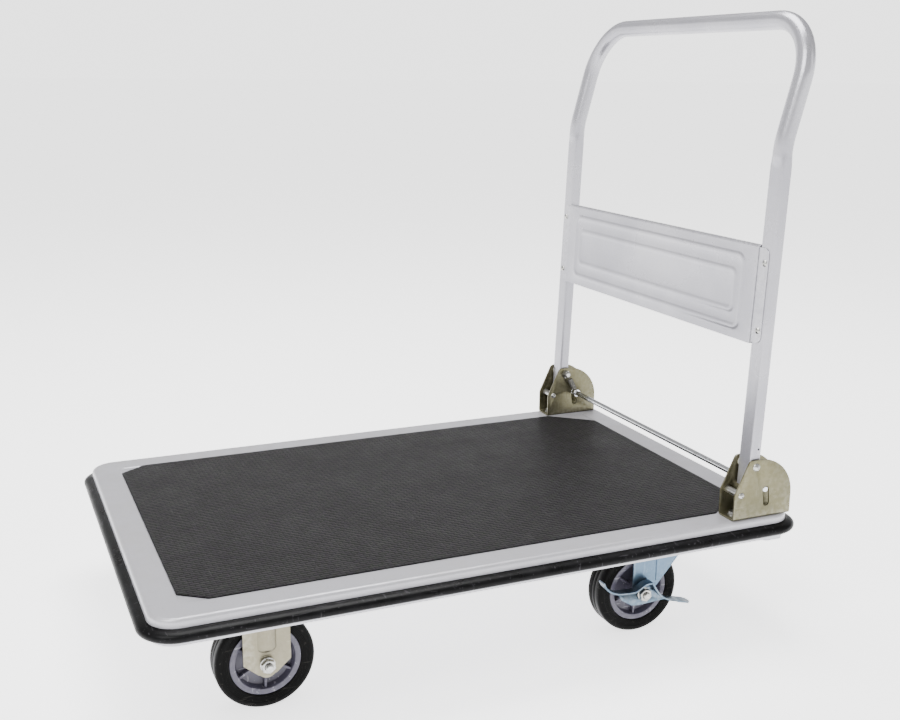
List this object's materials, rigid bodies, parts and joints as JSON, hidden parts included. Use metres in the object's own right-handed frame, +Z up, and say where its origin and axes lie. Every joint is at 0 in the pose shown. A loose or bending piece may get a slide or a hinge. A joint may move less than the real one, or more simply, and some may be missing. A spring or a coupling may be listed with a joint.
{
  "type": "folding platform cart",
  "caption": "Flat steel platform cart with a fold-down tube handle, sprung foot bar lock, rubber bumper, two rigid casters and two braked swivel casters.",
  "frame": {"origin": "on the floor, under the middle of the bumper's outline", "axes": "+X along the deck towards the handle end, +Y across the deck to the right of someone pushing from behind the handle and facing along -X, +Z up"},
  "size_m": [0.906, 0.604, 0.8445],
  "materials": {
    "silver_paint": "satin powder coat with a fine metallic grain",
    "mat_vinyl": "embossed satin sheet",
    "bumper_rubber": "semi-gloss",
    "yellow_zinc": "dull zinc plate",
    "blue_zinc": "bright bluish zinc plate",
    "bright_zinc": "bright zinc plate",
    "bright_bar": "polished bright bar",
    "spring_wire": "bright wire",
    "tyre_rubber": "moulded, satin",
    "hub_plastic": "moulded, slightly glossy",
    "bush_nylon": "moulded"
  },
  "bodies": {
    "deck": {"deck_pan": "silver_paint", "deck_mat": "mat_vinyl", "edge_bumper": "bumper_rubber", "stiffener_left": "silver_paint", "stiffener_right": "silver_paint", "cross_rail_front": "silver_paint", "cross_rail_rear": "silver_paint", "end_strap": "yellow_zinc", "bracket_left": "yellow_zinc", "bracket_right": "yellow_zinc", "bracket_screws": "bright_zinc", "bracket_nuts": "bright_zinc", "bracket_spacers": "bright_zinc", "spacer_rivets": "bright_zinc", "pivot_bolts": "bright_zinc", "pivot_nuts": "bright_zinc", "spring_left": "spring_wire", "spring_right": "spring_wire", "rigid_fork_left": "yellow_zinc", "rigid_fork_right": "yellow_zinc", "front_axle_bolts": "bright_zinc", "front_axle_nuts": "bright_zinc", "caster_screws": "bright_zinc", "caster_nuts": "bright_zinc", "swivel_plate_left": "blue_zinc", "swivel_plate_right": "blue_zinc", "kingpins": "bright_zinc", "race_balls": "bright_bar"},
    "handle": {"handle_tube": "silver_paint", "handle_panel": "silver_paint", "panel_rivets": "silver_paint", "pivot_bushes": "bush_nylon"},
    "foot_bar": {"foot_bar": "bright_bar", "bar_collars": "bright_bar"},
    "front_wheel_left": {"front_tyre_left": "tyre_rubber", "front_hub_left": "hub_plastic", "front_sleeve_left": "bright_zinc"},
    "front_wheel_right": {"front_tyre_right": "tyre_rubber", "front_hub_right": "hub_plastic", "front_sleeve_right": "bright_zinc"},
    "rear_wheel_left": {"rear_tyre_left": "tyre_rubber", "rear_hub_left": "hub_plastic", "rear_sleeve_left": "bright_zinc"},
    "rear_wheel_right": {"rear_tyre_right": "tyre_rubber", "rear_hub_right": "hub_plastic", "rear_sleeve_right": "bright_zinc"},
    "swivel_left": {"swivel_fork_left": "blue_zinc", "rear_axle_bolt_left": "bright_zinc", "rear_axle_nut_left": "bright_zinc", "brake_cam_left": "blue_zinc"},
    "brake_left": {"brake_lever_left": "blue_zinc"},
    "swivel_right": {"swivel_fork_right": "blue_zinc", "rear_axle_bolt_right": "bright_zinc", "rear_axle_nut_right": "bright_zinc", "brake_cam_right": "blue_zinc"},
    "brake_right": {"brake_lever_right": "blue_zinc"}
  },
  "joints": [
    {"name": "handle_fold", "type": "hinge", "parent": "deck", "child": "handle", "pos_m": [0.37, 0, 0.246], "axis": [0, -1, 0], "range_deg": [0, 100]},
    {"name": "foot_bar_slide", "type": "slide", "parent": "deck", "child": "foot_bar", "axis": [-0.1045, 0, 0.9945], "range_m": [-0.019, 0], "stiffness_N_per_m": 1500, "springref_m": 0.012, "deforming": ["spring_left", "spring_right"]},
    {"name": "front_wheel_left_spin", "type": "hinge", "parent": "deck", "child": "front_wheel_left", "pos_m": [-0.2965, -0.203, 0.0625], "axis": [0, 1, 0], "continuous": true},
    {"name": "front_wheel_right_spin", "type": "hinge", "parent": "deck", "child": "front_wheel_right", "pos_m": [-0.2965, 0.203, 0.0625], "axis": [0, 1, 0], "continuous": true},
    {"name": "caster_left_swivel", "type": "hinge", "parent": "deck", "child": "swivel_left", "pos_m": [0.262, -0.203, 0.1565], "axis": [0, 0, 1], "continuous": true},
    {"name": "rear_wheel_left_spin", "type": "hinge", "parent": "swivel_left", "child": "rear_wheel_left", "pos_m": [0.234, -0.203, 0.0625], "axis": [0, 1, 0], "continuous": true},
    {"name": "brake_left_rock", "type": "hinge", "parent": "swivel_left", "child": "brake_left", "pos_m": [0.234, -0.203, 0.0625], "axis": [0, -1, 0], "range_deg": [0, 24]},
    {"name": "caster_right_swivel", "type": "hinge", "parent": "deck", "child": "swivel_right", "pos_m": [0.262, 0.203, 0.1565], "axis": [0, 0, 1], "continuous": true},
    {"name": "rear_wheel_right_spin", "type": "hinge", "parent": "swivel_right", "child": "rear_wheel_right", "pos_m": [0.234, 0.203, 0.0625], "axis": [0, 1, 0], "continuous": true},
    {"name": "brake_right_rock", "type": "hinge", "parent": "swivel_right", "child": "brake_right", "pos_m": [0.234, 0.203, 0.0625], "axis": [0, -1, 0], "range_deg": [0, 24]}
  ]
}
